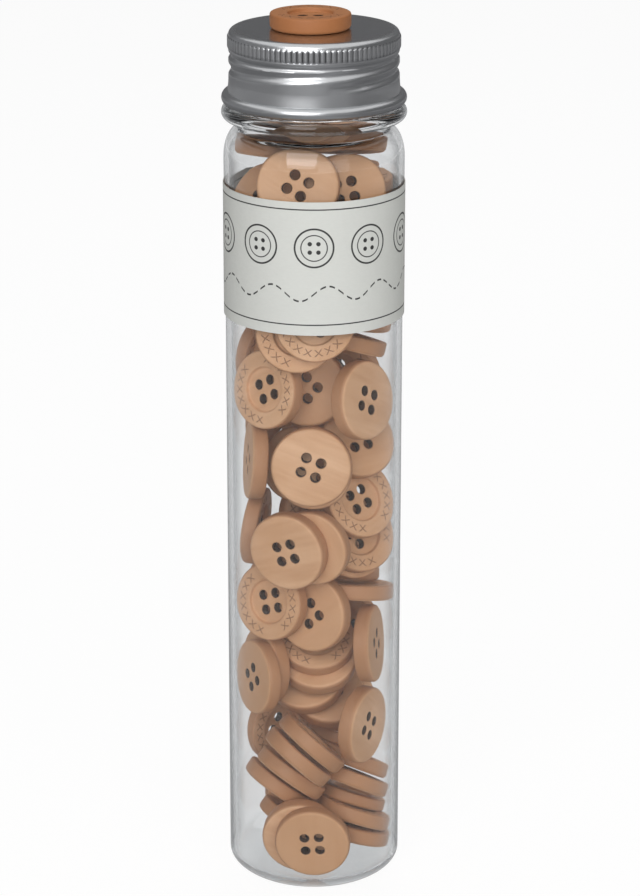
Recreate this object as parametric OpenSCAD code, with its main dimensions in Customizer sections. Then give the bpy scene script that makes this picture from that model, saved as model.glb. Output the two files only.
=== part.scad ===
// Clear screw-cap tube filled with turned wooden buttons, with one more button glued
// on the cap as its knob. The origin is the centre of the foot, +Z runs up the tube
// and the front looks along -Y.

/* [Tube] */
// Outside diameter of the body
tube_d = 40; // [38:0.2:44]
// Height from the foot to the rim of the mouth
tube_h = 200.6; // [180:0.2:230]
// Wall thickness of the body
tube_wall = 1.2; // [0.8:0.1:1.5]
// Thickness of the floor
floor_t = 1.6; // [1.2:0.1:2.2]
// How far the rounded foot reaches in from the side
foot_round_w = 11; // [8:0.5:12]
// How far the rounded foot reaches up the side
foot_round_h = 5; // [4:0.5:8]
// Rise of the hollow under the foot
foot_hollow_h = 0.6; // [0.3:0.1:1.2]
// Width of the flat ring that the foot stands on
foot_ring_w = 2.5; // [1.5:0.5:4]
// Widening of the body towards the shoulder, on the diameter
shoulder_extra_d = 0.4; // [0:0.1:0.8]
// Height of the rounded shoulder
shoulder_h = 6.5; // [5:0.5:9]
// How far the waist steps in from the shoulder
waist_step = 3.1; // [2.6:0.1:3.5]
// Height of the straight waist
waist_h = 2.1; // [1.5:0.1:4]

/* [Neck] */
// How far the support ring stands out past the shoulder
ring_proud = 0.45; // [0.1:0.05:1]
// Thickness of the support ring
ring_t = 3.2; // [2.4:0.1:4]
// How far the neck above the ring steps in from the shoulder
neck_step = 2.7; // [2.2:0.1:2.9]
// Height of the neck above the ring
neck_h = 15.2; // [14.6:0.1:18]
// Wall thickness of the neck
neck_wall = 1.7; // [1.5:0.1:2.5]
// Rounding of the rim
rim_round = 0.5; // [0.2:0.1:0.7]

/* [Thread] */
// Number of starts
thread_starts = 2; // [1:1:2]
// Rise of the thread in one turn
thread_lead = 6; // [5:0.5:7]
// Turn of each start, in degrees
thread_sweep = 264; // [180:6:300]
// Where the first start begins, in degrees from +X
thread_turn = 278; // [0:1:359]
// Height of the ridge on the neck
ridge_h = 0.85; // [0.5:0.05:1.1]
// Width of the ridge at its root
ridge_w = 1.6; // [1.2:0.1:1.8]
// Width of the ridge at its crest
ridge_crest_w = 0.6; // [0.3:0.1:0.8]
// Room between the ridge and the cap
thread_gap = 0.25; // [0.2:0.05:0.4]

/* [Cap] */
// Thickness of the sheet metal
sheet_t = 0.35; // [0.3:0.05:0.45]
// Rounding between the cap's top and its side
cap_round = 1.3; // [0.8:0.1:1.6]
// Height of the knurled band
knurl_h = 2.8; // [2:0.1:3.2]
// Number of flutes in the knurled band
knurl_count = 96; // [60:4:120]
// Depth of the flutes
knurl_depth = 0.3; // [0.2:0.05:0.4]
// Drop from the knurled band to the middle of the rolled groove
groove_drop = 1.5; // [1.2:0.1:2]
// Width of the rolled grooves
groove_w = 1.7; // [1.4:0.1:2]
// Depth of the thread grooves
groove_depth = 0.45; // [0.3:0.05:0.55]
// Flare of the plain band above the curl
band_flare = 0.24; // [0:0.02:0.4]
// Radius of the rolled curl
curl_r = 1.4; // [1:0.1:1.6]
// How far the curl is rolled past its side, in degrees
curl_turn = 120; // [90:5:140]
// Room between the curl and the support ring
curl_gap = 0.25; // [0.2:0.05:0.6]

/* [Liner] */
// Thickness of the foam liner in the cap
liner_t = 1.2; // [0.8:0.1:1.6]
// Room round the liner
liner_gap = 0.05; // [0.05:0.05:0.2]

/* [Label] */
// Drop from the shoulder to the label's upper edge
label_drop = 5.7; // [1:0.1:40]
// Height of the label
label_h = 30.2; // [20:0.1:32]
// Thickness of the label's paper
label_t = 0.15; // [0.1:0.05:0.3]
// Room between the label and the tube
label_gap = 0.05; // [0.05:0.05:0.2]

/* [Buttons] */
// Diameter of a button
button_d = 18; // [16:0.5:18.5]
// Thickness of a button
button_t = 3.5; // [3:0.1:4]
// Diameter of the well in a button's face
well_d = 10.2; // [9:0.1:11]
// Depth of the well
well_depth = 1; // [0.6:0.1:1.3]
// Diameter of the sewing holes
hole_d = 2.2; // [1.8:0.1:2.6]
// Distance between neighbouring sewing holes
hole_pitch = 3.45; // [3:0.05:4]
// Rounding of the face's outer edge
face_round = 0.45; // [0.3:0.05:0.8]
// Rounding of the back's outer edge
back_round = 0.9; // [0.5:0.1:1.2]
// Rounding of the well's lip and bottom
well_round = 0.4; // [0.2:0.05:0.5]
// Sideways place of the knob on the cap
knob_x = -0.8; // [-3:0.1:3]
// Thickness of the glue under the knob
glue_t = 0.05; // [0.05:0.05:0.2]
// Room kept between loose buttons
pile_gap = 0.05; // [0.05:0.05:0.2]

/* [Hidden] */
$fn = 72;
OVERRUN = 0.5;
arc_steps = 8;
edge_steps = 3;
turn_step = 6;
band_steps = 17;
search_rounds = 8;
button_groups = 12;

// Heights up the tube
ring_top_z = tube_h - neck_h;
ring_z = ring_top_z - ring_t;
shoulder_z = ring_z - waist_h - shoulder_h;
floor_z = foot_hollow_h + floor_t;
label_z = shoulder_z - label_drop - label_h;

// Radii of the tube
body_r = tube_d/2;
shoulder_r = body_r + shoulder_extra_d/2;
waist_r = shoulder_r - waist_step;
ring_r = shoulder_r + ring_proud;
neck_r = shoulder_r - neck_step;
mouth_r = neck_r - neck_wall;
foot_r = body_r - foot_round_w;
body_in_r = body_r - tube_wall;
shoulder_in_r = shoulder_r - tube_wall;
label_in_r = shoulder_r + label_gap;
flare_share = 0.4;

// Heights and radii of the cap
cap_under_z = tube_h + liner_gap + liner_t + liner_gap;
cap_top_z = cap_under_z + sheet_t;
knurl_top_z = cap_top_z - cap_round;
knurl_z = knurl_top_z - knurl_h;
groove_z = knurl_z - groove_drop;
thread_rise = thread_lead*thread_sweep/360;
thread_z = groove_z - thread_rise;
skirt_in_r = neck_r + ridge_h + thread_gap;
skirt_r = skirt_in_r + sheet_t;
liner_r = skirt_r - cap_round - liner_gap;
flare_r = skirt_r + band_flare;
curl_z = ring_top_z + curl_gap + curl_r;
band_low_z = thread_z - groove_w*3/4;
band_high_z = groove_z + groove_w/2;
lip_h = sheet_t;
thread_fade = thread_sweep/10;

// The button and its well
button_r = button_d/2;
well_r = well_d/2;
well_z = button_t/2 - well_depth;
knob_z = cap_top_z + glue_t + button_t/2;

// How each button that shows from the front lies in the tube: its place across as a share of
// the inside radius, its height as a share of the fill, the yaw and pitch of its outer face,
// its spin, and 1 where the hollowed face is outside
front_shares = [
    // faces that show whole, from the top down
    [-0.18, 0.915, -5, 15, -30, 0],
    [0.35, 0.92, 10, 15, 10, 0],
    [-0.20, 0.73, 0, 15, 10, 1],
    [-0.62, 0.65, -40, 10, 30, 1],
    [-0.07, 0.665, -10, 10, 50, 0],
    [0.77, 0.64, 50, 10, -30, 0],
    [-0.03, 0.57, -5, 10, -20, 0],
    [0.73, 0.575, 25, 30, 5, 0],
    [0.67, 0.50, 35, 25, 15, 1],
    [0.54, 0.47, 30, 25, 40, 1],
    [-0.30, 0.45, -25, 0, 20, 0],
    [-0.51, 0.37, -35, 10, 20, 1],
    [-0.01, 0.375, -30, 10, 45, 0],
    [-0.78, 0.29, -60, 5, 20, 0],
    [-0.16, 0.045, -5, -5, -20, 0],
    // the leaning fan below the middle
    [0.03, 0.32, 0, 55, 10, 1],
    [0.05, 0.295, 0, 55, 40, 0],
    [-0.09, 0.265, -10, 50, 70, 0],
    [0.17, 0.24, 10, 50, 20, 0],
    [0.31, 0.225, 20, 50, 60, 0],
    // stacks that show their edges, on the left
    [-0.03, 0.18, 110, 45, 0, 1],
    [-0.20, 0.16, 110, 45, 30, 1],
    [-0.29, 0.13, 115, 50, 60, 1],
    [-0.46, 0.095, 115, 50, 10, 1],
    [-0.59, 0.035, 115, 50, 40, 1],
    [-0.79, 0.56, -80, 5, 70, 0],
    [-0.80, 0.455, -100, 5, 30, 0],
    // stacks that show their edges, on the right
    [0.39, 0.705, 130, 70, 20, 1],
    [0.51, 0.39, 170, 75, 50, 1],
    [0.80, 0.325, 75, 5, 20, 0],
    [0.60, 0.195, 60, 0, 50, 0],
    [0.48, 0.125, 135, 60, 80, 1],
    [0.50, 0.145, 135, 60, 10, 1],
    [0.50, 0.06, 135, 65, 40, 1],
    [0.50, 0.025, 135, 70, 60, 1],
    // seen between the others
    [-0.17, 0.535, -10, 10, 30, 0],
    [-0.01, 0.475, 35, 15, 0, 1],
    // seen through the shoulder and the neck
    [-0.73, 0.895, -45, 50, 20, 0],
    [-0.66, 0.93, 155, 80, 0, 1],
    [0.50, 0.94, 150, 75, 40, 1],
    [-0.10, 0.965, 200, 80, 40, 1],
];

// How far a button may shift up or down to lie better, in shares of the fill's height
lift_shares = [0.008, -0.008, 0.017, -0.017];

// The rest of the fill is poured in from the foot up, on the right and on the left in turn: two
// buttons that lie, then one that stands with its face to the wall behind. Each row gives a
// direction from the axis, then height, yaw, pitch, spin and face as above
poured_count = 200;
poured_shares = [
    for (k = [0:poured_count - 1])
        let (side = k % 2 == 0 ? 1 : -1, pair = floor(k/2), behind = 180 + 60*side + 30*sin(77*k))
        pair % 3 < 2 ?
            [side*(100 + 12*sin(97*k)), k/poured_count, 61*k, 84 + 6*sin(41*k), 31*k, pair % 2] :
            [behind, k/poured_count, behind, 5*sin(53*k), 31*k, pair % 2]
];

// An arc of an ellipse, as points
function arc(c, rx, ry, from, to, steps) = [
    for (i = [0:steps]) let (a = from + (to - from)*i/steps) c + [rx*cos(a), ry*sin(a)]
];

// Half section of a button, its hollowed face up
function button_section() = concat(
    [[0, -button_t/2]],
    arc([button_r - back_round, back_round - button_t/2], back_round, back_round, -90, 0, edge_steps),
    arc([button_r - face_round, button_t/2 - face_round], face_round, face_round, 0, 90, edge_steps),
    arc([well_r + well_round, button_t/2 - well_round], well_round, well_round, 90, 180, edge_steps),
    arc([well_r - well_round, well_z + well_round], well_round, well_round, 0, -90, edge_steps),
    [[0, well_z]]
);

module button() {
    difference() {
        rotate_extrude() polygon(button_section());
        for (x = [-1, 1], y = [-1, 1])
            translate([x, y, 0]*hole_pitch/2) cylinder(d = hole_d, h = button_t + 2*OVERRUN, center = true);
    }
}

// The way a face looks: yaw turns it from the front towards +X, pitch lifts it
function facing(yaw, pitch) = [sin(yaw)*cos(pitch), -cos(yaw)*cos(pitch), sin(pitch)];

// How far a button with axis n reaches from its centre along a, times the length of a
function reach(n, a) = let (c = abs(n*a)) button_r*sqrt(max(0, a*a - c*c)) + button_t/2*c;

// Inside radius of the tube at a height
function inside_r(z) =
    z < floor_z ? foot_r :
    z < foot_round_h ?
        foot_r + (body_in_r - foot_r)*sqrt(1 - pow((foot_round_h - z)/(foot_round_h - floor_z), 2)) :
    z < shoulder_z ? body_in_r :
    z < ring_z - waist_h - tube_wall ?
        mouth_r + (body_in_r - mouth_r)*sqrt(1 - pow((z - shoulder_z)/(shoulder_h - tube_wall), 2)) :
    mouth_r;

// Points round both edges of a button, from its centre
function edge_points(yaw, pitch) =
    let (n = facing(yaw, pitch), u = [cos(yaw), sin(yaw), 0], v = cross(n, u))
    [for (a = [0:15:345], s = [-1, 1]) button_r*(u*cos(a) + v*sin(a)) + s*n*button_t/2];

// A direction and two others square to it
function square_to(d) =
    let (u = cross(d, abs(d[2]) < 0.9 ? [0, 0, 1] : [1, 0, 0]), e = u/norm(u)) [d, e, cross(d, e)];

// How far a button with axis n slides before it clears one with axis m, where the plane that
// parts them faces the slide with a lean; off is where the slide starts, from the other
function clears(n, m, off, way, lean) =
    let (a = way[0] + lean[0]*way[1] + lean[1]*way[2])
    reach(n, a) + reach(m, a) + pile_gap*norm(a) - a*off;

// The shortest such slide over all leans, by a search that narrows on the best one
function soonest(n, m, off, way, lean, s, step, rounds, enough) =
    rounds == 0 || s < enough ? s :
    let (
        tries = [for (q = [[1, 0], [-1, 0], [0, 1], [0, -1]])
            let (l = lean + q*step) [clears(n, m, off, way, l), l]],
        best = min([for (t = tries) t[0]])
    )
    best >= s ? soonest(n, m, off, way, lean, s, step/2, rounds - 1, enough) :
    let (to = [for (t = tries) if (t[0] == best) t[1]][0])
    soonest(n, m, off, way, to, best, step*1.5, rounds - 1, enough);

// The search starts from the best of the slide itself and the two faces
function lean_of(n, way) = let (k = n*way[0], q = abs(k) > 0.02 ? k : 0.02) [n*way[1], n*way[2]]/q;
function slide_past(n, m, off, way, enough) =
    let (
        leans = [[0, 0], lean_of(n, way), lean_of(m, way)],
        slides = [for (l = leans) clears(n, m, off, way, l)],
        s = min(slides)
    )
    soonest(n, m, off, way, [for (i = [0:2]) if (slides[i] == s) leans[i]][0], s, 0.5, search_rounds, enough);

// The first place along a slide that no stretch blocks
function first_free(s, blocks) =
    let (ends = [for (b = blocks) if (b[0] < s && s < b[1]) b[1]])
    len(ends) == 0 ? s : first_free(max(ends), blocks);

// Height of a button's centre, kept clear of the floor and of the neck
function centre_z(share, n) =
    let (tall = reach(n, [0, 0, 1]) + pile_gap)
    max(floor_z + tall, min(ring_top_z - tall, floor_z + share*(ring_top_z - floor_z)));

// The stretches of a slide that the buttons already in the tube block
function blocked(n, start, done, there, back, room) = [
    for (p = done)
        let (off = start - p[0], ahead = -off*there[0], side = off + ahead*there[0], gap = norm(side))
        if (ahead > -button_d && ahead < room + button_d)
            if (gap < pile_gap || gap*gap < reach(n, side) + reach(p[1], side) + pile_gap*gap)
                let (out = slide_past(n, p[1], off, there, 0))
                if (out > 0) [-slide_past(n, p[1], off, back, -tube_h), out]
];

// A button of the front, put in at the wall and slid back to the first room between the
// others: how far it slid, how far it could, and where it lies
function slid(row, lift_share, done) =
    let (
        n = facing(row[2], row[3]),
        z = centre_z(row[1] + lift_share, n),
        edge = edge_points(row[2], row[3]),
        inside = [for (e = edge) inside_r(z + e[2]) - pile_gap],
        all = [0:len(edge) - 1],
        room = min([for (i = all) sqrt(max(0, pow(inside[i], 2) - pow(edge[i][1], 2))) - abs(edge[i][0])]),
        x = max(-room, min(room, row[0]*body_in_r)),
        ends = [for (i = all) sqrt(max(0, pow(inside[i], 2) - pow(x + edge[i][0], 2)))],
        near = max([for (i = all) -ends[i] - edge[i][1]]),
        far = min([for (i = all) ends[i] - edge[i][1]]),
        start = [x, near, z],
        s = first_free(0, blocked(n, start, done, BACKWARD, FORWARD, far - near))
    )
    [s, far - near, [start + s*BACKWARD[0], n, row]];

// Tries a button at its height, then a little above and below it, and keeps the shortest slide
function placed(row, done) =
    let (
        first = slid(row, 0, done),
        tries = first[0] < button_t/2 ? [first] :
            concat([first], [for (share = lift_shares) slid(row, share, done)]),
        good = [for (t = tries) if (t[0] <= t[1]) t],
        best = min([tube_h, for (t = good) t[0]])
    )
    len(good) == 0 ? [] : [[for (t = good) if (t[0] == best) t[2]][0]];

function front_fill(done, i) =
    i == len(front_shares) ? done : front_fill(concat(done, placed(front_shares[i], done)), i + 1);

// A poured button comes to rest in the lowest room between the others
function poured(row, done) =
    let (
        n = facing(row[2], row[3]),
        out = facing(row[0], 0),
        radius = min([
            for (e = edge_points(row[2], row[3]))
                let (along = out*e, across = norm([e[0], e[1]]))
                sqrt(pow(body_in_r - pile_gap, 2) + along*along - across*across) - along
        ]),
        tall = reach(n, UPWARD[0]),
        low = foot_round_h + tall,
        high = shoulder_z - tall,
        start = out*radius + UPWARD[0]*(low + row[1]*(high - low)),
        room = min(button_d, high - start[2]),
        s = first_free(0, blocked(n, start, done, UPWARD, DOWNWARD, room))
    )
    s > room ? [] : [[start + s*UPWARD[0], n, row]];

function poured_fill(done, i) =
    i == len(poured_shares) ? done : poured_fill(concat(done, poured(poured_shares[i], done)), i + 1);

BACKWARD = square_to([0, 1, 0]);
FORWARD = square_to([0, -1, 0]);
UPWARD = square_to([0, 0, 1]);
DOWNWARD = square_to([0, 0, -1]);
pile = poured_fill(front_fill([], 0), 0);

// The loose buttons come in groups, from the top of the table down
function group_of(i) = floor(i*button_groups/len(pile));
function group_node(g) = str("buttons_", g < 9 ? "0" : "", g + 1);

// Half section of the tube, up the outside and down the inside
function tube_section() = concat(
    [[0, foot_hollow_h], [foot_r - foot_ring_w, 0]],
    arc([foot_r, foot_round_h], foot_round_w, foot_round_h, -90, 0, arc_steps),
    [[body_r, label_z], [shoulder_r, label_z + label_h*flare_share]],
    arc([waist_r, shoulder_z], shoulder_r - waist_r, shoulder_h, 0, 90, arc_steps),
    [[waist_r, ring_z]],
    arc([ring_r - ring_t/2, ring_z + ring_t/2], ring_t/2, ring_t/2, -90, 90, arc_steps),
    [[neck_r, ring_top_z]],
    arc([neck_r - rim_round, tube_h - rim_round], rim_round, rim_round, 0, 90, edge_steps),
    arc([mouth_r + rim_round, tube_h - rim_round], rim_round, rim_round, 90, 180, edge_steps),
    arc([mouth_r, shoulder_z], shoulder_in_r - mouth_r, shoulder_h - tube_wall, 90, 0, arc_steps),
    [[shoulder_in_r, label_z + label_h*flare_share], [body_in_r, label_z]],
    arc([foot_r, foot_round_h], body_in_r - foot_r, foot_round_h - floor_z, 0, -90, arc_steps),
    [[0, floor_z]]
);

// Grows from 0 at either end of a thread to 1 along it
function thread_share(turn) = max(0, min(1, turn/thread_fade, (thread_sweep - turn)/thread_fade));

// A closed sweep: each ring is joined to the next, and the ends are capped
module swept(rings) {
    n = len(rings[0]);
    last = len(rings) - 1;
    polyhedron(
        [for (r = rings) each r],
        concat(
            [[for (j = [0:n - 1]) j]],
            [for (i = [0:last - 1], j = [0:n - 1])
                let (k = (j + 1) % n)
                each [
                    [i*n + j, (i + 1)*n + j, (i + 1)*n + k],
                    [i*n + j, (i + 1)*n + k, i*n + k]
                ]
            ],
            [[for (j = [n - 1:-1:0]) last*n + j]]
        )
    );
}

// One ridge of the neck's thread, which lies midway between the grooves of the shut cap
module neck_ridge(start) {
    mid_z = thread_z + thread_lead/thread_starts/2;
    top_z = groove_z - groove_w/2 - ridge_w/2 - thread_gap;
    last_turn = (top_z - mid_z)/thread_lead*360;
    root_r = neck_r - ridge_h/2;
    rings = [
        for (t = [0:turn_step:thread_sweep])
            let (
                turn = last_turn - thread_sweep + t,
                a = thread_turn + start*360/thread_starts + turn,
                z = mid_z + thread_lead*turn/360,
                crest_r = neck_r - ridge_h/4 + ridge_h*5/4*thread_share(t)
            )
            [
                for (p = [
                    [root_r, -ridge_w/2], [crest_r, -ridge_crest_w/2],
                    [crest_r, ridge_crest_w/2], [root_r, ridge_w/2]
                ]) [p[0]*cos(a), p[0]*sin(a), z + p[1]]
            ]
    ];
    swept(rings);
}

module tube() color([0.86, 0.89, 0.9, 0.3]) {
    rotate_extrude() polygon(tube_section());
    for (start = [0:thread_starts - 1]) neck_ridge(start);
}

module label() color("whitesmoke") {
    translate([0, 0, label_z]) difference() {
        cylinder(r = label_in_r + label_t, h = label_h);
        translate([0, 0, -OVERRUN]) cylinder(r = label_in_r, h = label_h + 2*OVERRUN);
    }
}

// Depth of the rolled grooves at a height and an angle round the cap
function dent(z, off, depth) = let (u = abs(z - off)/(groove_w/2)) u < 1 ? depth*(1 + cos(180*u))/2 : 0;
function groove_at(z, a) = max([
    dent(z, groove_z, groove_depth*3/4),
    for (start = [0:thread_starts - 1])
        let (turn = (a - thread_turn - start*360/thread_starts + 720) % 360)
        if (turn < thread_sweep)
            dent(z, thread_z + thread_lead*turn/360, groove_depth*thread_share(turn))
]);

// Wall of the cap's threaded band, whose thin lips run into the plain walls above and below it
module threaded_band() {
    skin = sheet_t/4;
    heights = [for (i = [0:band_steps]) band_low_z + (band_high_z - band_low_z)*i/band_steps];
    lips = [band_low_z - lip_h, band_high_z + lip_h];
    function ring(a) = concat(
        [[skirt_r - skin, lips[0]]],
        [for (z = heights) [skirt_r - skin/4 - groove_at(z, a), z]],
        [[skirt_r - skin, lips[1]], [skirt_in_r + skin, lips[1]]],
        [for (i = [band_steps:-1:0]) [skirt_in_r + skin/4 - groove_at(heights[i], a), heights[i]]],
        [[skirt_in_r + skin, lips[0]]]
    );
    rings = [for (a = [0:turn_step:359]) [for (p = ring(a)) [p[0]*cos(a), p[0]*sin(a), p[1]]]];
    n = len(rings[0]);
    count = len(rings);
    polyhedron(
        [for (r = rings) each r],
        [for (i = [0:count - 1], j = [0:n - 1])
            let (k = (j + 1) % n, next = (i + 1) % count)
            each [
                [i*n + j, next*n + k, next*n + j],
                [i*n + j, i*n + k, next*n + k]
            ]
        ]
    );
}

// Half section of the cap's top and of the wall down to the rolled groove
function crown_section() = concat(
    [[0, cap_top_z]],
    arc([skirt_r - cap_round, knurl_top_z], cap_round, cap_round, 90, 0, arc_steps),
    [[skirt_r, band_high_z], [skirt_in_r, band_high_z]],
    arc([skirt_r - cap_round, knurl_top_z], cap_round - sheet_t, cap_round - sheet_t, 0, 90, arc_steps),
    [[0, cap_under_z]]
);

// Half section of the plain band and of the curl rolled out of its lower edge
function curl_section() = concat(
    [[skirt_in_r, band_low_z], [skirt_r, band_low_z]],
    arc([flare_r, curl_z], curl_r, curl_r, 90, -curl_turn, arc_steps*2),
    arc([flare_r, curl_z], curl_r - sheet_t, curl_r - sheet_t, -curl_turn, 90, arc_steps*2),
    [[flare_r - sheet_t, curl_z + curl_r]]
);

// Flutes round the knurled band, standing on the wall
module knurl() {
    points = [
        for (i = [0:knurl_count - 1], p = [[0, 0], [0.3, 1], [0.7, 1]])
            let (a = 360*(i + p[0])/knurl_count, r = skirt_r - knurl_depth/6 + knurl_depth*p[1])
            [r*cos(a), r*sin(a)]
    ];
    translate([0, 0, knurl_z]) difference() {
        linear_extrude(knurl_h) polygon(points);
        translate([0, 0, -OVERRUN]) cylinder(r = skirt_r - sheet_t/2, h = knurl_h + 2*OVERRUN);
    }
}

module cap() color("silver") {
    rotate_extrude() polygon(crown_section());
    rotate_extrude() polygon(curl_section());
    knurl();
    threaded_band();
}

module liner() color("white") {
    translate([0, 0, tube_h + liner_gap]) cylinder(r = liner_r, h = liner_t);
}

module cap_button() color("peru") {
    translate([knob_x, 0, knob_z]) button();
}

// A button of the pile, turned to its face's yaw, pitch and spin
module loose_button(place) color("burlywood") {
    row = place[2];
    translate(place[0]) rotate([0, 0, row[2]]) rotate([90 - row[3], 0, 0])
        rotate([row[5] == 1 ? 0 : 180, 0, row[4]]) button();
}

module button_group(g) for (i = [0:len(pile) - 1]) if (group_of(i) == g) loose_button(pile[i]);

tube();
label();
cap();
liner();
cap_button();
for (g = [0:button_groups - 1])
    button_group(g);
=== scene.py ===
# %% [markdown]
# # A clear tube of wooden buttons
# The object is a tall clear plastic jar with a rolled aluminium screw cap and a paper label. It is filled
# with turned wooden buttons, and one more button is glued on the cap as its knob. The solids come from a
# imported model, the frame, in metres, with the foot on the floor and the front along -Y. Each piece that is
# made here goes where its solid is and rides on the same body.

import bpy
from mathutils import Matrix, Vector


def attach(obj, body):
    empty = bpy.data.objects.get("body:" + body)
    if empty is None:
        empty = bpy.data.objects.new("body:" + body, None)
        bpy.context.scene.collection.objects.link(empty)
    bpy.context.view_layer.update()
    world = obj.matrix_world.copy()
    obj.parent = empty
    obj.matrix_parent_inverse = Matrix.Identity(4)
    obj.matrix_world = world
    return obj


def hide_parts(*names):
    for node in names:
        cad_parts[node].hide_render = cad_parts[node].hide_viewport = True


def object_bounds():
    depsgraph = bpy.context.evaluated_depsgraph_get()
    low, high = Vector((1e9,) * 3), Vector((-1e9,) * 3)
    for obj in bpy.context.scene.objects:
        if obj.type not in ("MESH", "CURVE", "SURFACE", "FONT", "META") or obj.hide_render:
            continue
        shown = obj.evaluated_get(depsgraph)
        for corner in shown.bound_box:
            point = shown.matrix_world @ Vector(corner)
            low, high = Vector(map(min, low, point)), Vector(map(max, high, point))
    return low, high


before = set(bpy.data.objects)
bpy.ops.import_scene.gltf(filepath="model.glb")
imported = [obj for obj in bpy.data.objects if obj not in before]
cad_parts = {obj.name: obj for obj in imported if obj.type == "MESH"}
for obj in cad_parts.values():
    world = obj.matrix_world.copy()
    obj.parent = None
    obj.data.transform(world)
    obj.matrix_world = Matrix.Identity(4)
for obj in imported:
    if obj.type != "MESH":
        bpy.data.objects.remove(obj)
cad_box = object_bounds()

# %% Modules and the unit
import math
import random

import bmesh
import bpy
import numpy as np
from mathutils import Matrix, Vector

MM = 0.001
print("CAD height in mm:", round(cad_box[1].z / MM, 1))

# %% [markdown]
# ## The camera
# A product picture of a tall, thin thing is taken with a long lens from a little above, so that the sides
# stay nearly parallel and the cap shows its top. The camera could be aimed with a Track To constraint, but
# a plain place and one tilt are easier to read.

# %% Camera
LENS = 127.0
SENSOR = 36.0
CAMERA_BACK = 688.25 * MM
CAMERA_UP = 337.0 * MM
TILT_DOWN = math.radians(18.648)
SIDE_SHIFT = 0.0066

bpy.ops.object.select_all(action="DESELECT")
bpy.ops.object.camera_add(location=(0, -CAMERA_BACK, CAMERA_UP), rotation=(math.pi / 2 - TILT_DOWN, 0, 0))
camera = bpy.context.object
camera.name = "camera"
camera.data.lens = LENS
camera.data.sensor_width = SENSOR
camera.data.shift_x = SIDE_SHIFT
bpy.context.scene.camera = camera
bpy.context.scene.view_settings.view_transform = "Standard"
print("camera at", tuple(round(v, 3) for v in camera.location))

# %% [markdown]
# ## Shader maths as plain arithmetic
# A finish is a tree of nodes. Drawn by hand it is a net of small boxes, and in code it soon becomes a long
# list of links. This class holds one socket and turns sums, products, powers and comparisons into Math nodes,
# so that a mask reads as a formula. One method makes every other node.

# %% The class for shader maths
class Wire:
    """One output socket of a finish, or the empty start of it."""

    def __init__(self, tree, maker=None, socket=None):
        self.tree, self.maker, self.socket = tree, maker, socket

    def node(self, kind, settings, sockets, out=0):
        """Adds a node: its settings first, then the values or links of its sockets."""
        made = self.tree.nodes.new(kind)
        for key, value in settings.items():
            setattr(made, key, value)
        for key, value in sockets.items():
            if isinstance(value, Wire):
                self.tree.links.new(value.socket, made.inputs[key])
            else:
                made.inputs[key].default_value = value
        return Wire(self.tree, made, made.outputs[out] if made.outputs else None)

    def out(self, name):
        return Wire(self.tree, self.maker, self.maker.outputs[name])

    def maths(self, operation, *values):
        return self.node("ShaderNodeMath", {"operation": operation}, dict(enumerate(values)))

    def __add__(self, other):
        return self.maths("ADD", self, other)

    def __sub__(self, other):
        return self.maths("SUBTRACT", self, other)

    def __rsub__(self, other):
        return self.maths("SUBTRACT", other, self)

    def __mul__(self, other):
        return self.maths("MULTIPLY", self, other)

    def __pow__(self, other):
        return self.maths("POWER", self, other)

    def __abs__(self):
        return self.maths("ABSOLUTE", self)

    def __lt__(self, other):
        return self.maths("LESS_THAN", self, other)

    def __gt__(self, other):
        return self.maths("GREATER_THAN", self, other)

    __radd__ = __add__
    __rmul__ = __mul__


print("a Wire takes + - * ** < > and abs")

# %% Small helpers for finishes
def new_finish(name):
    """A material with an empty tree, and the wire that starts it."""
    material = bpy.data.materials.new(name)
    material.use_nodes = True
    material.node_tree.nodes.clear()
    return material, Wire(material.node_tree)


def split(vector):
    """The three numbers of a vector."""
    parts = vector.node("ShaderNodeSeparateXYZ", {}, {"Vector": vector})
    return [parts.out(axis) for axis in "XYZ"]


def fade(value, low, high):
    """0 below low, 1 above high, and a soft step between them."""
    settings = {"interpolation_type": "SMOOTHSTEP"}
    return value.node("ShaderNodeMapRange", settings, {"Value": value, "From Min": low, "From Max": high})


def tone(share, first, second):
    """The first colour where share is 0 and the second where it is 1."""
    return share.node("ShaderNodeMix", {"data_type": "RGBA"}, {0: share, 6: first, 7: second}, 2)


def stretch(vector, factors, shift=(0, 0, 0)):
    """A vector times three factors, plus a shift."""
    settings = {"operation": "MULTIPLY_ADD"}
    return vector.node("ShaderNodeVectorMath", settings, {0: vector, 1: factors, 2: shift})


def cloud(vector, scale, detail=3.0):
    """Soft noise about one half."""
    return vector.node("ShaderNodeTexNoise", {}, {"Vector": vector, "Scale": scale, "Detail": detail})


def bumps(height, strength, depth):
    """A normal that follows a height between 0 and 1, depth metres tall."""
    return height.node("ShaderNodeBump", {}, {"Strength": strength, "Distance": depth, "Height": height})


print("helpers for finishes are ready")

# %% [markdown]
# ## Floor, light and background
# The picture has a pure white ground. The floor could be lit until it burns out, but then the wood would
# burn out too. Here the floor mixes its own matt grey, which takes the shadow, with a white that only the
# camera, mirrors and clear plastic see. The world does the same, and lights the pieces more softly.

# %% Floor
FLOOR_SIZE = 8.0
FLOOR_DROP = 0.2 * MM
FLOOR_GREY = 0.7
SHADOW_SHARE = 0.14
GLOW = 1.07
WHITE = (1, 1, 1, 1)

bpy.ops.mesh.primitive_plane_add(size=FLOOR_SIZE, location=(0, 0, -FLOOR_DROP))
floor = bpy.context.object
floor.name = "floor"


def seen_straight(wire):
    """1 for rays from the camera, from mirrors and through clear plastic."""
    path = wire.node("ShaderNodeLightPath", {}, {})
    seen = wire.maths("MAXIMUM", path.out("Is Camera Ray"), path.out("Is Glossy Ray"))
    return wire.maths("MAXIMUM", seen, path.out("Is Transmission Ray"))


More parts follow.
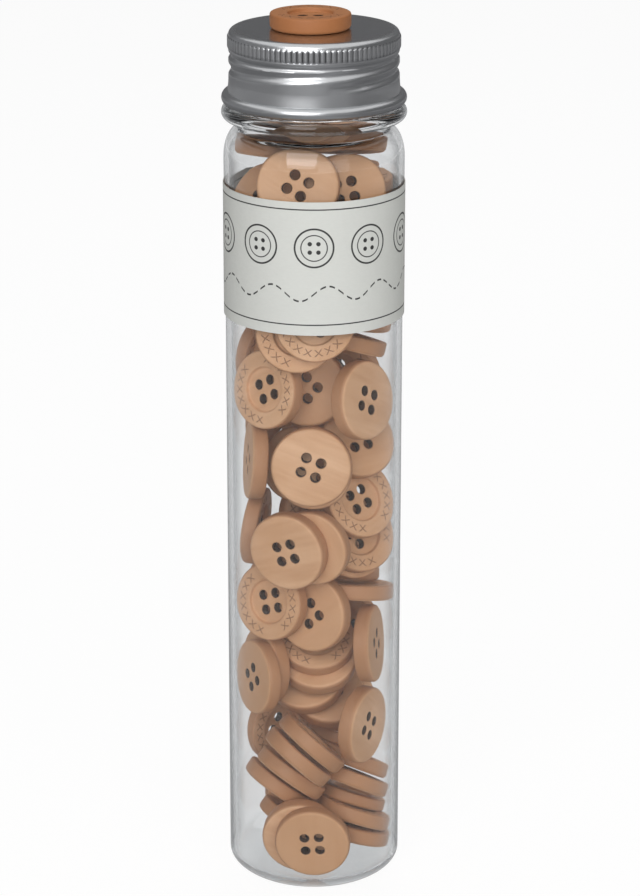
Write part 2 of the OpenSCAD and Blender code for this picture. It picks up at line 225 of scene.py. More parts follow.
floor_finish, start = new_finish("white_floor")
matt = start.node("ShaderNodeBsdfDiffuse", {}, {"Color": (FLOOR_GREY, FLOOR_GREY, FLOOR_GREY, 1)})
glow = start.node("ShaderNodeEmission", {}, {"Color": WHITE, "Strength": GLOW})
share = seen_straight(start) * (1 - SHADOW_SHARE)
start.node(
    "ShaderNodeOutputMaterial", {},
    {"Surface": start.node("ShaderNodeMixShader", {}, {0: share, 1: matt, 2: glow})},
)
floor.data.materials.append(floor_finish)
print("floor", FLOOR_SIZE, "m wide")

# %% World
AMBIENT = 0.28

world = bpy.data.worlds.new("white_room")
bpy.context.scene.world = world
world.use_nodes = True
world.node_tree.nodes.clear()
start = Wire(world.node_tree)
strength = seen_straight(start) * (1 - AMBIENT) + AMBIENT
sky = start.node("ShaderNodeBackground", {}, {"Color": WHITE, "Strength": strength})
start.node("ShaderNodeOutputWorld", {}, {"Surface": sky})
print("ambient light", AMBIENT)

# %% Lamps
def soft_lamp(name, place, size, power):
    """A square soft box that looks at the middle of the tube."""
    middle = Vector((0, 0, cad_box[1].z / 2))
    turn = (middle - Vector(place)).to_track_quat("-Z", "Y").to_euler()
    bpy.ops.object.light_add(type="AREA", location=place, rotation=turn)
    lamp = bpy.context.object
    lamp.name = name
    lamp.data.size = size
    lamp.data.energy = power
    return lamp


soft_lamp("key_left", (-0.35, -1.15, 0.75), 0.9, 8.8)
fill = soft_lamp("fill_right", (0.5, -1.05, 0.5), 0.9, 4.6)
top = soft_lamp("top_back", (0.1, 0.55, 0.9), 0.6, 2.0)
fill.visible_glossy = top.visible_glossy = False
print("three soft lamps, of which the metal mirrors only the key")

# %% [markdown]
# ## Cards for the metal
# Bare metal shows what stands round it, and in an all-white room it looks like paper, while clear plastic
# looks milky. A photographer works in a dim room and lays a grey card under the piece. So four grey walls and
# two cards on the floor are seen by mirror reflections only, and darken nothing else.

# %% Grey cards
def grey_card(name, place, turn, width, height, level):
    """A flat card, turned from lying flat by three angles, which shows in mirrors alone."""
    turn = [math.radians(angle) for angle in turn]
    bpy.ops.mesh.primitive_plane_add(size=1, location=place, rotation=turn)
    card = bpy.context.object
    card.name = name
    card.scale = (width, height, 1)
    for ray in ("camera", "diffuse", "transmission", "shadow", "volume_scatter"):
        setattr(card, "visible_" + ray, False)
    finish, start = new_finish(name)
    shade = start.node("ShaderNodeEmission", {}, {"Color": (level, level, level * 1.03, 1)})
    start.node("ShaderNodeOutputMaterial", {}, {"Surface": shade})
    card.data.materials.append(finish)


grey_card("card_floor", (0, 0, 0.001), (0, 0, 0), 2.4, 2.4, 0.2)
grey_card("card_front", (0.02, -0.42, 0.002), (0, 0, 0), 0.36, 0.7, 0.36)
grey_card("wall_left", (-1.5, 0, 0.6), (0, 90, 0), 1.4, 3.0, 0.26)
grey_card("wall_right", (1.5, 0, 0.6), (0, 90, 0), 1.4, 3.0, 0.16)
grey_card("wall_back", (0, 1.5, 0.9), (90, 0, 0), 3.0, 2.0, 0.15)
grey_card("wall_front", (0, -1.6, 0.6), (90, 0, 0), 3.0, 1.4, 0.3)
print("four walls and two cards")

# %% [markdown]
# ## Turned shapes
# The tube, the cap and the buttons are all round. Each could be a stack of cylinders, but a maker draws half
# the section once and turns it, on a lathe or in a mould. So a plane is merged to one point, the point is
# extruded along the section, and Spin turns the line once round the axis.

# %% Drawing and spinning a section
def arc(centre, wide, tall, first, last, steps):
    """Points of an ellipse's arc, as radius and height in mm."""
    turns = [math.radians(first + (last - first) * i / steps) for i in range(steps + 1)]
    return [(centre[0] + wide * math.cos(t), centre[1] + tall * math.sin(t)) for t in turns]


def draw_section(name, section):
    """Leaves edit mode open on a line of points, with everything selected."""
    points = [Vector((r, 0, z)) * MM for r, z in section]
    bpy.ops.object.select_all(action="DESELECT")
    bpy.ops.mesh.primitive_plane_add(size=MM, location=(0, 0, 0))
    piece = bpy.context.object
    piece.name = piece.data.name = name
    bpy.ops.object.mode_set(mode="EDIT")
    bpy.ops.mesh.select_mode(type="VERT")
    bpy.ops.mesh.select_all(action="SELECT")
    bpy.ops.mesh.merge(type="CENTER")
    bpy.ops.transform.translate(value=points[0])
    for here, there in zip(points, points[1:]):
        bpy.ops.mesh.extrude_vertices_move(TRANSFORM_OT_translate={"value": there - here})
    bpy.ops.mesh.select_all(action="SELECT")
    return piece


def close_seams():
    """Merges doubled points and turns the faces outwards, then leaves edit mode."""
    bpy.ops.mesh.select_all(action="SELECT")
    bpy.ops.mesh.remove_doubles(threshold=MM / 1000)
    bpy.ops.mesh.normals_make_consistent(inside=False)
    bpy.ops.object.mode_set(mode="OBJECT")


def turned(name, section, steps):
    """A section spun once round the axis."""
    piece = draw_section(name, section)
    bpy.ops.mesh.spin(steps=steps, angle=math.tau, center=(0, 0, 0), axis=(0, 0, 1))
    close_seams()
    return piece


def use_modifier(piece, kind, **settings):
    """Adds a modifier to a piece and applies it."""
    bpy.ops.object.select_all(action="DESELECT")
    piece.select_set(True)
    bpy.context.view_layer.objects.active = piece
    made = piece.modifiers.new(kind, kind)
    for key, value in settings.items():
        setattr(made, key, value)
    bpy.ops.object.modifier_apply(modifier=made.name)


def smooth(piece, angle):
    """Shades a piece smooth, apart from edges sharper than the angle."""
    bpy.ops.object.select_all(action="DESELECT")
    piece.select_set(True)
    bpy.context.view_layer.objects.active = piece
    bpy.ops.object.shade_smooth_by_angle(angle=math.radians(angle))


def stand_in_for(piece, body, slot, *nodes):
    """The piece takes the place of CAD nodes and rides on their body; the slot is not used."""
    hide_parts(*nodes)
    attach(piece, body)
    print(piece.name, "replaces", *nodes, "with", len(piece.data.polygons), "faces")


print("a quarter arc of 4 steps:", [(round(r, 2), round(z, 2)) for r, z in arc((0, 0), 1, 1, 0, 90, 4)])

# %% [markdown]
# ## The clear tube
# The jar is one moulded piece: a rounded foot with a hollow under it, a long wall that widens a little to the
# shoulder, a waist, a support ring and the neck. The section runs up the outside and down the inside, so the
# wall has its real thickness and bends what lies behind it.

# %% Tube
TUBE_STEPS = 192
TUBE_R, TUBE_IN_R = 20.0, 18.8
FOOT_R, FOOT_Z = 9.0, 5.0
BASE_T = 2.2
LABEL_Z = 137.7
WIDE_R, WIDE_IN_R, WIDE_Z = 20.2, 19.0, 149.8
SHOULDER_Z, SHOULDER_H, SHOULDER_IN_H = 173.6, 6.5, 5.3
WAIST_R = 17.1
RING_R, RING_Z, RING_HALF = 19.05, 183.8, 1.6
NECK_R, NECK_IN_R = 17.5, 15.8
RIM_Z, RIM_ROUND = 200.6, 0.5

tube_section = [(0, 0.6), (3, 0.6), (5.5, 0.45), (6.5, 0)]
tube_section += arc((FOOT_R, FOOT_Z), TUBE_R - FOOT_R, FOOT_Z, -90, 0, 20)
tube_section += [(TUBE_R, LABEL_Z), (WIDE_R, WIDE_Z)]
tube_section += arc((WAIST_R, SHOULDER_Z), WIDE_R - WAIST_R, SHOULDER_H, 0, 90, 16)
tube_section += [(WAIST_R, RING_Z - RING_HALF)]
tube_section += arc((RING_R, RING_Z), RING_HALF, RING_HALF, -90, 90, 16)
tube_section += [(NECK_R, RING_Z + RING_HALF)]
tube_section += arc((NECK_R - RIM_ROUND, RIM_Z - RIM_ROUND), RIM_ROUND, RIM_ROUND, 0, 90, 5)
tube_section += arc((NECK_IN_R + RIM_ROUND, RIM_Z - RIM_ROUND), RIM_ROUND, RIM_ROUND, 90, 180, 5)
tube_section += arc((NECK_IN_R, SHOULDER_Z), WIDE_IN_R - NECK_IN_R, SHOULDER_IN_H, 90, 0, 16)
tube_section += [(WIDE_IN_R, WIDE_Z), (TUBE_IN_R, LABEL_Z)]
tube_section += arc((FOOT_R, FOOT_Z), TUBE_IN_R - FOOT_R, FOOT_Z - BASE_T, 0, -90, 20)
tube_section += [(4, BASE_T), (0, BASE_T)]
tube = turned("clear_tube", tube_section, TUBE_STEPS)
print("tube wall drawn with", len(tube_section), "points")

# %% [markdown]
# The neck has two thread ridges, which start half a turn apart. A ridge could be a curve with a bevel, but
# the Screw modifier keeps its four-sided section upright. The ends of a real ridge run out into the wall, so
# the first and last points sink in, and a union joins the ridge to the neck.

# %% Thread ridges on the neck
RIDGE_H = 0.85
RIDGE_ROOT = 0.4
RIDGE_HALF, RIDGE_CREST_HALF = 0.8, 0.3
RIDGE_SUNK = 0.2
RIDGE_LEAD = 6.0
RIDGE_SWEEP = 264.0
RIDGE_STEPS = 88
RIDGE_LOW_Z = 190.35
RIDGE_TURN = 74.0
RUN_OUT = 26.4


def neck_ridge(name, turn):
    """One ridge, screwed up from its lower end, which stands at an angle from +X."""
    crest, root = NECK_R + RIDGE_H, NECK_R - RIDGE_ROOT
    section = [(root, -RIDGE_HALF), (crest, -RIDGE_CREST_HALF), (crest, RIDGE_CREST_HALF)]
    section += [(root, RIDGE_HALF), (root, -RIDGE_HALF)]
    ridge = draw_section(name, [(r, z + RIDGE_LOW_Z) for r, z in section])
    bpy.ops.mesh.remove_doubles(threshold=MM / 1000)
    bpy.ops.object.mode_set(mode="OBJECT")
    use_modifier(
        ridge, "SCREW", axis="Z", angle=math.radians(RIDGE_SWEEP),
        steps=RIDGE_STEPS, render_steps=RIDGE_STEPS,
        screw_offset=RIDGE_LEAD * RIDGE_SWEEP / 360 * MM, use_normal_calculate=True,
    )
    for point in ridge.data.vertices:
        along = math.degrees(math.atan2(point.co.y, point.co.x)) % 360
        along = 0 if along > (360 + RIDGE_SWEEP) / 2 else along
        rise = min(1, along / RUN_OUT, (RIDGE_SWEEP - along) / RUN_OUT)
        radius = math.hypot(point.co.x, point.co.y) / MM
        if radius > NECK_R:
            sunk = NECK_R - RIDGE_SUNK + (RIDGE_H + RIDGE_SUNK) * max(0, rise)
            point.co.x *= sunk / radius
            point.co.y *= sunk / radius
    ridge.data.transform(Matrix.Rotation(math.radians(turn), 4, "Z"))
    bpy.ops.object.mode_set(mode="EDIT")
    bpy.ops.mesh.select_all(action="SELECT")
    bpy.ops.mesh.fill_holes(sides=4)
    close_seams()
    return ridge


for number in range(2):
    ridge = neck_ridge("ridge", RIDGE_TURN + 180 * number)
    use_modifier(tube, "BOOLEAN", operation="UNION", object=ridge, solver="EXACT")
    bpy.data.objects.remove(ridge)
smooth(tube, 40)
stand_in_for(tube, "jar", "tube", "tube")

# %% [markdown]
# Clear plastic bends light, mirrors a little of the room and hides nothing. Light has to reach the buttons
# through it, and a path tracer finds that way badly, so rays of lamp light and of bounced light pass the wall
# as if it were not there, apart from the thick neck, which lets only a small part through: this is painted
# shade, for the shade that the cap casts there and for the light that the ring and ridges turn away. Edge
# on and at the foot, the wall is thick and greyer, and a part of the view goes straight on.

# %% Clear plastic
NECK_SHADE_Z = (177.5, 180.5)
NECK_SHADE_PASS = 0.14
FOOT_SHADE_Z = (1.5, 7.0)
EDGE_VEIL = 0.55
FOOT_VEIL = 0.7

clear_plastic, start = new_finish("clear_plastic")
path = start.node("ShaderNodeLightPath", {}, {})
edge_on = fade(start.node("ShaderNodeLayerWeight", {}, {"Blend": 0.5}, "Facing"), 0.5, 0.8)
where = start.node("ShaderNodeTexCoord", {}, {}, "Object")
height = split(where)[2]
neck = fade(height, NECK_SHADE_Z[0] * MM, NECK_SHADE_Z[1] * MM)
foot = 1 - fade(height, FOOT_SHADE_Z[0] * MM, FOOT_SHADE_Z[1] * MM)
passing = start.maths("MAXIMUM", path.out("Is Shadow Ray"), path.out("Is Diffuse Ray"))
waves = cloud(stretch(where, (90, 90, 30)), 1.0, 1.0)
glass = start.node("ShaderNodeBsdfPrincipled", {}, {
    "Base Color": tone(edge_on, (0.85, 0.857, 0.862, 1), (0.78, 0.793, 0.8, 1)),
    "Roughness": 0.03, "IOR": 1.46, "Transmission Weight": 1.0,
    "Normal": bumps(waves, 0.06, 0.3 * MM),
})
veil = start.node("ShaderNodeBsdfTransparent", {}, {"Color": (0.86, 0.87, 0.875, 1)})
clear = start.node("ShaderNodeBsdfTransparent", {}, {"Color": (0.97, 0.975, 0.975, 1)})
# painted shade: lamp and bounced light pass the neck only in a small part, standing for the cap's shade and
# for the light that the ring and ridges turn away
painted_neck_shade = start.node("ShaderNodeBsdfTransparent", {}, {"Color": (NECK_SHADE_PASS, NECK_SHADE_PASS, NECK_SHADE_PASS, 1)})
clear = start.node("ShaderNodeMixShader", {}, {0: neck, 1: clear, 2: painted_neck_shade})
veiled = start.maths("MAXIMUM", edge_on * EDGE_VEIL, foot * FOOT_VEIL)
wall = start.node("ShaderNodeMixShader", {}, {0: veiled, 1: glass, 2: veil})
wall = start.node("ShaderNodeMixShader", {}, {0: passing, 1: wall, 2: clear})
start.node("ShaderNodeOutputMaterial", {}, {"Surface": wall})
tube.data.materials.append(clear_plastic)
print("clear plastic on", tube.name)

# %% [markdown]
# ## The paper label
# The label is one strip of paper glued round the tube, and its end laps over its start at the back. A ring
# would do from the front, but the lap shows what the piece is. The strip's edge is drawn once, spun a little
# more than once round, and the lap is lifted by the paper's thickness.

# %% Label
LABEL_R = 20.25
LABEL_H = 30.2
PAPER_T = 0.15
LABEL_ROWS = 6
LAP = 14.0
LAP_RISE = 20.0
LAP_LIFT = 1.15
LABEL_STEPS = 187
BACK = 90.0

edge = [(LABEL_R, LABEL_Z + LABEL_H * i / LABEL_ROWS) for i in range(LABEL_ROWS + 1)]
label = draw_section("paper_label", edge)
bpy.ops.mesh.spin(
    steps=LABEL_STEPS, angle=math.radians(360 + LAP), center=(0, 0, 0), axis=(0, 0, 1), use_auto_merge=False,
)
bpy.ops.object.mode_set(mode="OBJECT")
columns = len(label.data.vertices) // (LABEL_ROWS + 1)
for number, point in enumerate(label.data.vertices):
    turn = number // (LABEL_ROWS + 1) / (columns - 1) * (360 + LAP)
    lift = PAPER_T * LAP_LIFT * min(1, max(0, (turn - 360 + LAP_RISE) / LAP_RISE))
    point.co.x *= 1 + lift / LABEL_R
    point.co.y *= 1 + lift / LABEL_R
label.data.transform(Matrix.Rotation(math.radians(BACK), 4, "Z"))
bpy.ops.object.mode_set(mode="EDIT")
bpy.ops.mesh.select_all(action="SELECT")
bpy.ops.mesh.normals_make_consistent(inside=False)
bpy.ops.object.mode_set(mode="OBJECT")
use_modifier(label, "SOLIDIFY", thickness=PAPER_T * MM, offset=1.0)
smooth(label, 40)
stand_in_for(label, "jar", "label", "label")

# %% [markdown]
# The print is two thin rules, a row of outlined buttons and a running stitch, in one black ink. It could be
# cut out as thin solids, but ink has no height. The angle round the tube and the height give flat places on
# the paper, and each mark is a distance from a line or a circle there.

# %% Printed paper
PRINT_R = 20.4
REPEAT = math.tau * PRINT_R / 10
RULES_Z = (166.2, 140.1)
ROW_Z = 157.6
ROW_RIM_R, ROW_WELL_R = 4.3, 2.9
ROW_HOLE_OFF, ROW_HOLE_R = 0.95, 0.45
STITCH_Z = 147.2
STITCH_RISE = 1.7
DASH_EVERY = 2.0

printed_paper, start = new_finish("printed_paper")
where = start.node("ShaderNodeTexCoord", {}, {}, "Object")
x, y, z = split(where)
across = start.maths("ARCTAN2", x, y * -1) * PRINT_R
height = z * (1 / MM)
in_repeat = start.maths("WRAP", across, REPEAT / 2, -REPEAT / 2)
from_row = height - ROW_Z
from_middle = (in_repeat * in_repeat + from_row * from_row) ** 0.5
to_hole = ((abs(in_repeat) - ROW_HOLE_OFF) ** 2 + (abs(from_row) - ROW_HOLE_OFF) ** 2) ** 0.5
wave = start.maths("SINE", across * (math.tau / REPEAT)) * STITCH_RISE
dash = start.maths("WRAP", across, DASH_EVERY / 2, -DASH_EVERY / 2)
marks = [
    1 - fade(abs(height - RULES_Z[0]), 0.12, 0.17),
    1 - fade(abs(height - RULES_Z[1]), 0.12, 0.17),
    1 - fade(abs(from_middle - ROW_RIM_R), 0.16, 0.24),
    1 - fade(abs(from_middle - ROW_WELL_R), 0.09, 0.16),
    1 - fade(to_hole, ROW_HOLE_R, ROW_HOLE_R + 0.08),
    (1 - fade(abs(height - STITCH_Z - wave), 0.16, 0.24)) * (1 - fade(abs(dash), 0.58, 0.64)),
]
ink = marks[0]
for mark in marks[1:]:
    ink = start.maths("MAXIMUM", ink, mark)
fibres = cloud(stretch(where, (900, 900, 2600)), 1.0, 4.0)
shade = cloud(stretch(where, (60, 60, 60)), 1.0, 2.0)
paper = tone(fibres * 0.5 + shade * 0.5, (0.61, 0.62, 0.585, 1), (0.71, 0.72, 0.685, 1))
colour = tone(ink * 0.96, paper, (0.012, 0.012, 0.013, 1))
sheet = start.node("ShaderNodeBsdfPrincipled", {}, {
    "Base Color": colour, "Roughness": 0.62 - ink * 0.12, "Normal": bumps(fibres, 0.15, 0.05 * MM),
})
start.node("ShaderNodeOutputMaterial", {}, {"Surface": sheet})
label.data.materials.append(printed_paper)
print("label print repeats every", round(REPEAT, 2), "mm")

# %% [markdown]
# ## The rolled cap
# The cap is pressed from thin sheet, and three wheels then roll in the knurl, the groove and the thread,
# while the lower edge is curled outwards. The outer face of the sheet is turned first. The knurl and the
# thread are moves of its points in and out, as the wheels make them, and Solidify gives the sheet its
# thickness.

# %% Cap sheet
CAP_STEPS = 480
CAP_R = 18.95
CAP_TOP_Z = 202.25
TOP_ROUND = 1.3
KNURL_Z = (198.15, 200.95)
KNURL_H = 2.8
KNURL_ROWS = (0.06, 0.14, 0.25, 0.5, 0.75, 0.86, 0.94)
BAND_ROWS = 34
GROOVE_Z = 196.65
BAND_LOW_Z = 190.975
CURL = (19.19, 187.05)
CURL_R = 1.4
SHEET_T = 0.35

cap_section = [(0, CAP_TOP_Z), (6, CAP_TOP_Z), (12, CAP_TOP_Z), (16, CAP_TOP_Z)]
cap_section += arc((CAP_R - TOP_ROUND, KNURL_Z[1]), TOP_ROUND, TOP_ROUND, 90, 0, 8)
cap_section += [(CAP_R, KNURL_Z[1] - KNURL_H * share) for share in KNURL_ROWS]
cap_section += [
    (CAP_R, KNURL_Z[0] - (KNURL_Z[0] - BAND_LOW_Z) * i / BAND_ROWS) for i in range(BAND_ROWS + 1)
]
cap_section += [(19.02, 190.1), (19.1, 189.3)]
cap_section += arc(CURL, CURL_R, CURL_R, 90, -120, 16)
cap = turned("rolled_cap", cap_section, CAP_STEPS)
print("cap sheet has", len(cap.data.vertices), "points")

# %% Rolling the knurl, the groove and the thread
FLUTES = 96
FLUTE_H = 0.3
FLUTE_END = 0.4
GROOVE_W = 1.9
GROOVE_D = 0.6
GROOVE_SHARE = 0.9
THREAD_W = 3.0
THREAD_TURN = 278.0
THREAD_Z = 192.25


def dent(height, middle, width, depth):
    """A rounded valley, as deep as given at its middle."""
    off = abs(height - middle) / (width / 2)
    return depth * (1 + math.cos(math.pi * off)) / 2 if off < 1 else 0


def rolled(angle, height):
    """How far the wheels move the sheet in at an angle and a height."""
    deepest = dent(height, GROOVE_Z, GROOVE_W, GROOVE_D * GROOVE_SHARE)
    for number in range(2):
        turn = (angle - THREAD_TURN - 180 * number) % 360
        if turn < RIDGE_SWEEP:
            run_out = max(0, min(1, turn / RUN_OUT, (RIDGE_SWEEP - turn) / RUN_OUT))
            middle = THREAD_Z + RIDGE_LEAD * turn / 360
            deepest = max(deepest, dent(height, middle, THREAD_W, GROOVE_D * run_out))
    return deepest


def flute(angle, height):
    """How far the knurl stands out."""
    low, high = KNURL_Z
    if not low < height < high:
        return 0
    ends = min(1, (height - low) / FLUTE_END, (high - height) / FLUTE_END)
    across = abs((angle * FLUTES / 360) % 1 - 0.5) * 2
    return FLUTE_H * math.sqrt(max(0, 1 - across**3)) * math.sqrt(max(0, ends * (2 - ends))) - FLUTE_H / 6


for point in cap.data.vertices:
    radius = math.hypot(point.co.x, point.co.y) / MM
    height = point.co.z / MM
    if radius > CAP_R - 0.01 and BAND_LOW_Z - 1 < height < KNURL_Z[1] + 0.01:
        angle = math.degrees(math.atan2(point.co.y, point.co.x))
        moved = (radius + flute(angle, height) - rolled(angle, height)) / radius
        point.co.x *= moved
        point.co.y *= moved
use_modifier(cap, "SOLIDIFY", thickness=SHEET_T * MM, offset=-1.0)
smooth(cap, 50)
stand_in_for(cap, "lid", "cap", "cap")

# %% [markdown]
# Satin aluminium mirrors the room in soft bands. Its colour is nearly even, and what changes is the fine
# rolling grain round the side and the small rubs on the top, so the pattern goes to the tone and to the
# roughness alone. A bump would break up the clean bands. The valleys of the knurl get a dark line of
# painted shade in the colour.

# %% Satin aluminium
satin_metal, start = new_finish("satin_aluminium")
where = start.node("ShaderNodeTexCoord", {}, {}, "Object")
x, y, z = split(where)
round_r = (x * x + y * y) ** 0.5
angle = start.maths("ARCTAN2", y, x)
unrolled = start.node("ShaderNodeCombineXYZ", {}, {"X": angle * 3.0, "Y": z * 2600, "Z": round_r * 2600})
grain = cloud(unrolled, 1.0, 3.0)
rubs = cloud(stretch(where, (160, 160, 160)), 1.0, 3.0)
metal_tone = tone(grain * 0.4 + rubs * 0.6, (0.52, 0.53, 0.54, 1), (0.58, 0.59, 0.6, 1))
in_flute = start.maths("WRAP", angle * (FLUTES / math.tau), 1.0, 0.0)
# painted shade: the colour is darkened in the valleys of the knurl, where shade falls
knurl_valley_shade = fade(abs(in_flute - 0.5), 0.3, 0.46) * (z > KNURL_Z[0] * MM) * (z < KNURL_Z[1] * MM)
metal_tone = tone(knurl_valley_shade * 0.6, metal_tone, (0.1, 0.1, 0.105, 1))
on_side = fade(round_r, (CAP_R - 2) * MM, (CAP_R - 0.8) * MM)
metal = start.node("ShaderNodeBsdfPrincipled", {}, {
    "Base Color": metal_tone, "Metallic": 1.0, "Roughness": 0.15 + grain * 0.06 + rubs * 0.06 + on_side * 0.1,
})
start.node("ShaderNodeOutputMaterial", {}, {"Surface": metal})
cap.data.materials.append(satin_metal)
print("satin metal on", cap.name)

# %% [markdown]
# ## The liner
# A disc of white foam in the cap closes the mouth. Its solid is right as it is, a plain cut disc, so the node
# stays and only gets a finish: small open cells, as bumps and a little shade.

# %% Foam liner
foam, start = new_finish("foam")
where = start.node("ShaderNodeTexCoord", {}, {}, "Object")
cells = start.node("ShaderNodeTexVoronoi", {}, {"Vector": where, "Scale": 2400.0}, "Distance")
pits = fade(cells, 0.1, 0.6)
foam_tone = tone(pits, (0.72, 0.72, 0.7, 1), (0.86, 0.86, 0.84, 1))
body = start.node("ShaderNodeBsdfPrincipled", {}, {
    "Base Color": foam_tone, "Roughness": 0.8 + pits * 0.1, "Normal": bumps(pits, 0.4, 0.1 * MM),
})
start.node("ShaderNodeOutputMaterial", {}, {"Surface": body})
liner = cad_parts["liner"]
liner.data.materials.clear()
liner.data.materials.append(foam)
print("foam on", liner.name)

# %% [markdown]
# ## One wooden button
# Each button is turned from wood: a flat back with a round edge, a broad rim and a hollowed face, and four
# holes are drilled through it. The section is spun, and four cutters, which widen at both ends as the
# drilled and sanded holes do, are taken out with a Boolean.

# %% Button
BUTTON_R = 9.0
BUTTON_T = 3.5
WELL_R = 5.1
WELL_Z = 0.75
HOLE_R = 1.1
HOLE_OFF = 1.725
SINK_R, SINK_DEEP = 0.22, 0.25
CUT_PAST = 0.3
BACK_ROUND, FACE_ROUND, WELL_ROUND = 0.9, 0.45, 0.4
BUTTON_STEPS = 72
HOLE_STEPS = 20

half = BUTTON_T / 2
button_section = [(0, -half), (6, -half)]
button_section += arc((BUTTON_R - BACK_ROUND, BACK_ROUND - half), BACK_ROUND, BACK_ROUND, -90, 0, 6)
button_section += arc((BUTTON_R - FACE_ROUND, half - FACE_ROUND), FACE_ROUND, FACE_ROUND, 0, 90, 4)
button_section += arc((WELL_R + WELL_ROUND, half - WELL_ROUND), WELL_ROUND, WELL_ROUND, 90, 180, 4)
button_section += arc((WELL_R - WELL_ROUND, WELL_Z + WELL_ROUND), WELL_ROUND, WELL_ROUND, 0, -90, 4)
button_section += [(0, WELL_Z)]
button = turned("button", button_section, BUTTON_STEPS)

wide = HOLE_R + SINK_R
cutter_section = [
    (0, -half - CUT_PAST), (wide, -half - CUT_PAST), (wide, -half), (HOLE_R, -half + SINK_DEEP),
    (HOLE_R, WELL_Z - SINK_DEEP), (wide, WELL_Z), (wide, WELL_Z + CUT_PAST), (0, WELL_Z + CUT_PAST),
]
for side_x in (-1, 1):
    for side_y in (-1, 1):
        cutter = turned("cutter", cutter_section, HOLE_STEPS)
        cutter.data.transform(Matrix.Translation(Vector((side_x, side_y, 0)) * HOLE_OFF * MM))
        use_modifier(button, "BOOLEAN", operation="DIFFERENCE", object=cutter, solver="EXACT")
        bpy.data.objects.remove(cutter)
smooth(button, 35)
print("one button has", len(button.data.polygons), "faces")

# %% [markdown]
# A pattern on wood has to follow each button, however it lies. Object coordinates would slide over a joined
# pile, so the button keeps its own coordinates, in mm, as an attribute of its points, and each copy adds a
# seed, which picks its piece of timber, and a tint.

# %% The button's own coordinates
own = button.data.attributes.new("local", "FLOAT_VECTOR", "POINT")
own_mm = np.array([point.co for point in button.data.vertices]) / MM
own.data.foreach_set("vector", own_mm.astype(np.float32).ravel())
dice = random.Random(11)


def copy_button(name, place, tint):
    """A copy of the button with its own mesh, put in place, with a seed and a tint."""
    bpy.ops.object.select_all(action="DESELECT")
    button.select_set(True)
    bpy.context.view_layer.objects.active = button
    bpy.ops.object.duplicate()
    copy = bpy.context.object
    copy.name = copy.data.name = name
    copy.data.transform(place)
    count = len(copy.data.vertices)
    seed = np.array([dice.uniform(0, 90) for _ in range(3)], np.float32)
    made = copy.data.attributes.new("seed", "FLOAT_VECTOR", "POINT")
    made.data.foreach_set("vector", np.tile(seed, count))
    made = copy.data.attributes.new("tint", "FLOAT", "POINT")
    made.data.foreach_set("value", np.full(count, tint, np.float32))
    return copy


print("own coordinates from", own_mm.min(0).round(2), "to", own_mm.max(0).round(2))

# %% [markdown]
# ## Where each button lies
# The pile is in the frame already, as solids. Each button's place could be typed in again, but it is safer to
# measure it: most of a button's surface faces along its axis, its flat back lies further out than its
# hollowed face, and the holes give its spin.

# %% Measuring the solids
HOLES_WITHIN = 4.2


def solids_of(node):
    """The points and triangles of each separate solid of a CAD node."""
    measure = bmesh.new()
    measure.from_mesh(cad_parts[node].data)
    bmesh.ops.remove_doubles(measure, verts=measure.verts, dist=MM / 1000)
    bmesh.ops.triangulate(measure, faces=measure.faces)
    measure.verts.index_update()
    found, seen = [], set()
    for first in measure.verts:
        if first in seen:
            continue
        stack, members = [first], []
        seen.add(first)
        while stack:
            here = stack.pop()
            members.append(here)
            for edge in here.link_edges:
                there = edge.other_vert(here)
                if there not in seen:
                    seen.add(there)
                    stack.append(there)
        faces = dict.fromkeys(face for point in members for face in point.link_faces)
        corners = np.array([[corner.co for corner in face.verts] for face in faces])
        found.append((np.array([point.co for point in members]), corners))
    measure.free()
    return found


def place_of(points, corners):
    """The matrix that takes the button to a solid's place."""
    crosses = np.cross(corners[:, 1] - corners[:, 0], corners[:, 2] - corners[:, 0])
    areas = np.linalg.norm(crosses, axis=1)
    normals = crosses / np.maximum(areas, 1e-15)[:, None]
    axis = np.linalg.eigh((normals * areas[:, None]).T @ normals)[1][:, 2]
    side = np.cross(axis, (0, 0, 1) if abs(axis[2]) < 0.9 else (1, 0, 0))
    side /= np.linalg.norm(side)
    frame_axes = np.array([side, np.cross(axis, side), axis])
    flat = points @ frame_axes.T
    middle = (flat.min(0) + flat.max(0)) / 2
    facing = normals @ axis
    heights = corners.mean(1) @ axis - middle[2]
    outer = [np.average(abs(heights[s * facing > 0.99]), weights=areas[s * facing > 0.99]) for s in (1, -1)]
    if outer[0] > outer[1]:
        frame_axes[1:] *= -1
        flat[:, 1:] *= -1
        middle[1:] *= -1
    spread = flat[:, :2] - middle[:2]
    holes = spread[np.hypot(*spread.T) < HOLES_WITHIN * MM]
    spin = np.angle(-np.sum(np.exp(4j * np.arctan2(holes[:, 1], holes[:, 0])))) / 4
    turned_axes = np.array(Matrix.Rotation(-spin, 3, "Z")) @ frame_axes
    place = Matrix(turned_axes.T.tolist()).to_4x4()
    place.translation = Vector((middle @ frame_axes).tolist())
    return place


knob_place = place_of(*solids_of("cap_button")[0])
print("the knob lies at", [round(v / MM, 2) for v in knob_place.translation], "mm")

# %% [markdown]
# ## The pile and the knob
# Loose buttons are all turned alike, so a copy of the button goes to each place. The copies could stay apart,
# but the pile of one node is one piece in the frame too, so they are joined. The knob is one more copy.

# %% Copies
def pile_of(name, places):
    """Copies of the button at all the places, joined to one piece."""
    copies = [copy_button(name, place, dice.random()) for place in places]
    bpy.ops.object.select_all(action="DESELECT")
    for copy in copies:
        copy.select_set(True)
    bpy.context.view_layer.objects.active = copies[0]
    bpy.ops.object.join()
    pile = bpy.context.object
    pile.name = pile.data.name = name
    return pile


places = {
    node: [place_of(*solid) for solid in solids_of(node)]
    for node in sorted(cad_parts) if node.startswith("buttons_")
}
piles = []
for node, there in places.items():
    piles.append(pile_of("loose_" + node, there))
    stand_in_for(piles[-1], "jar", "buttons", node)

knob = copy_button("knob_button", knob_place, 0.5)
stand_in_for(knob, "lid", "knob", "cap_button")

